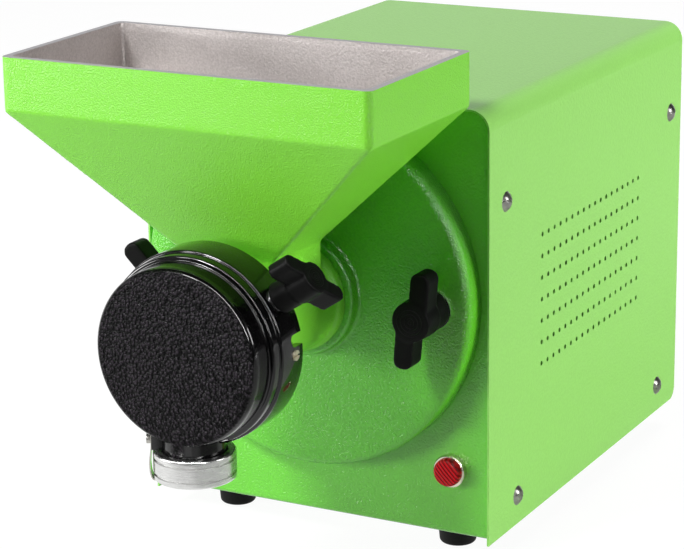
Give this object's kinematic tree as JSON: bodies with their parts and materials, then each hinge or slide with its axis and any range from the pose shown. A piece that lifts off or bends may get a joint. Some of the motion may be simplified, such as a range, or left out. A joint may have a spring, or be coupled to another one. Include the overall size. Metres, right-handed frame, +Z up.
{
  "type": "nut butter grinder",
  "caption": "Bench nut butter grinder: sheet-metal motor housing on rubber feet, hopper and barrel on a round mounting disc, drum-shaped grinding head with a downward outlet.",
  "frame": {"origin": "on the floor under the feet, in the middle of the grinder's bounding box", "axes": "+Z up; -Y is the front, where the grinding head is; +Y is the rear panel; +X is the right side seen from the front"},
  "size_m": [0.234, 0.464, 0.314],
  "materials": {
    "leaf_green_paint": "smooth semi-gloss powder coat",
    "bright_green_paint": "smooth gloss paint on cast aluminium, bare metal inside the hopper",
    "black_paint": "black hammered paint",
    "black_plastic": "satin black moulded plastic",
    "foot_rubber": "matt black",
    "wire_insulation": "insulated wire",
    "bright_steel": "turned and plated steel",
    "hardened_steel": "hardened tool steel",
    "chrome_trim": "polished",
    "red_lens": "clear red, ribbed",
    "bare_aluminium": "turned or cast, uncoated",
    "bronze": "sintered bearing bronze",
    "copper_wire": "enamelled copper"
  },
  "bodies": {
    "housing": {"chassis_tray": "leaf_green_paint", "top_cover": "leaf_green_paint", "cover_screws": "bright_steel", "rubber_feet": "foot_rubber", "foot_screws": "bright_steel", "lamp_bezel": "chrome_trim", "lamp_lens": "red_lens", "lamp_body": "black_plastic", "lamp_nut": "bright_steel", "panel_nuts": "bright_steel", "gearbox_plate": "bare_aluminium", "gearbox_case": "bare_aluminium", "drive_bolts": "bright_steel", "gearbox_bushes": "bronze", "motor_shell": "bare_aluminium", "stator_core": "bright_steel", "stator_windings": "copper_wire", "end_shield": "bare_aluminium", "motor_bearings": "bright_steel", "fan_cowl": "bright_steel", "motor_cradle": "bright_steel", "capacitor": "bare_aluminium", "terminal_block": "black_plastic", "switch_body": "black_plastic", "power_inlet": "black_plastic", "wiring": "wire_insulation"},
    "switch_lever": {"switch_rocker": "black_plastic"},
    "output_drive": {"output_shaft": "bright_steel", "output_wheel": "hardened_steel"},
    "countershaft": {"layshaft": "bright_steel", "layshaft_wheel": "hardened_steel", "layshaft_pinion": "hardened_steel"},
    "motor_rotor": {"rotor_core": "bright_steel", "motor_shaft": "bright_steel", "motor_pinion": "hardened_steel", "cooling_fan": "black_plastic"},
    "grinding_unit": {"mounting_disc": "bright_green_paint", "hopper_casting": "bright_green_paint", "barrel_screws": "bright_steel", "barrel_bush": "bronze", "fixed_burr": "hardened_steel", "burr_screws": "bright_steel"},
    "feed_screw": {"auger_shaft": "bright_steel", "auger_flight": "bright_steel", "rotating_burr": "hardened_steel", "burr_nut": "bright_steel"},
    "head": {"grinding_head": "black_paint", "stop_screw": "bright_steel", "outlet_clip": "bright_steel", "clip_screw": "bright_steel"},
    "outlet": {"outlet_ring": "bare_aluminium"},
    "right_washer": {"disc_washer_right": "bright_steel"},
    "right_knob": {"disc_knob_right": "black_plastic", "disc_stud_right": "bright_steel"},
    "left_washer": {"disc_washer_left": "bright_steel"},
    "left_knob": {"disc_knob_left": "black_plastic", "disc_stud_left": "bright_steel"},
    "clamp_washer": {"head_washer": "bright_steel"},
    "clamp_knob": {"head_knob": "black_plastic", "head_stud": "bright_steel"}
  },
  "joints": [
    {"name": "output_spin", "type": "hinge", "parent": "housing", "child": "output_drive", "pos_m": [0, -0.041, 0.1605], "axis": [0, 1, 0], "continuous": true},
    {"name": "countershaft_spin", "type": "hinge", "parent": "housing", "child": "countershaft", "pos_m": [0, -0.021, 0.1155], "axis": [0, 1, 0], "continuous": true},
    {"name": "rotor_spin", "type": "hinge", "parent": "housing", "child": "motor_rotor", "pos_m": [0, 0.089, 0.1605], "axis": [0, 1, 0], "continuous": true},
    {"name": "grinding_unit_pull", "type": "slide", "parent": "housing", "child": "grinding_unit", "axis": [0, -1, 0], "range_m": [0, 0.06]},
    {"name": "feed_spin", "type": "hinge", "parent": "grinding_unit", "child": "feed_screw", "pos_m": [0, -0.151, 0.1605], "axis": [0, 1, 0], "continuous": true},
    {"name": "head_pull", "type": "slide", "parent": "grinding_unit", "child": "head", "axis": [0, -1, 0], "range_m": [0, 0.06]},
    {"name": "outlet_turn", "type": "hinge", "parent": "head", "child": "outlet", "pos_m": [0, -0.209, 0.0955], "axis": [0, 0, 1], "continuous": true},
    {"name": "right_screw_travel", "type": "slide", "parent": "grinding_unit", "child": "right_washer", "axis": [0, -1, 0], "range_m": [0, 0.00625]},
    {"name": "right_screw_turn", "type": "hinge", "parent": "right_washer", "child": "right_knob", "pos_m": [0.0848, -0.101, 0.1605], "axis": [0, -1, 0], "range_deg": [0, 1800]},
    {"name": "left_screw_travel", "type": "slide", "parent": "grinding_unit", "child": "left_washer", "axis": [0, -1, 0], "range_m": [0, 0.00625]},
    {"name": "left_screw_turn", "type": "hinge", "parent": "left_washer", "child": "left_knob", "pos_m": [-0.0848, -0.101, 0.1605], "axis": [0, -1, 0], "range_deg": [0, 1800]},
    {"name": "clamp_screw_travel", "type": "slide", "parent": "head", "child": "clamp_washer", "axis": [0.8339, 0, 0.5519], "range_m": [0, 0.00375]},
    {"name": "clamp_screw_turn", "type": "hinge", "parent": "clamp_washer", "child": "clamp_knob", "pos_m": [0.05003, -0.19425, 0.19362], "axis": [0.8339, 0, 0.5519], "range_deg": [0, 1080]},
    {"name": "switch_rock", "type": "hinge", "parent": "housing", "child": "switch_lever", "pos_m": [-0.06, 0.225, 0.0715], "axis": [1, 0, 0], "range_deg": [0, 20]}
  ],
  "couplings": [
    {"joint": "countershaft_spin", "follows": "output_spin", "ratio": -3},
    {"joint": "rotor_spin", "follows": "output_spin", "ratio": 9},
    {"joint": "feed_spin", "follows": "output_spin", "ratio": 1},
    {"joint": "right_screw_turn", "follows": "right_screw_travel", "rad_per_m": 5026.5},
    {"joint": "left_screw_turn", "follows": "left_screw_travel", "rad_per_m": 5026.5},
    {"joint": "clamp_screw_turn", "follows": "clamp_screw_travel", "rad_per_m": 5026.5}
  ]
}
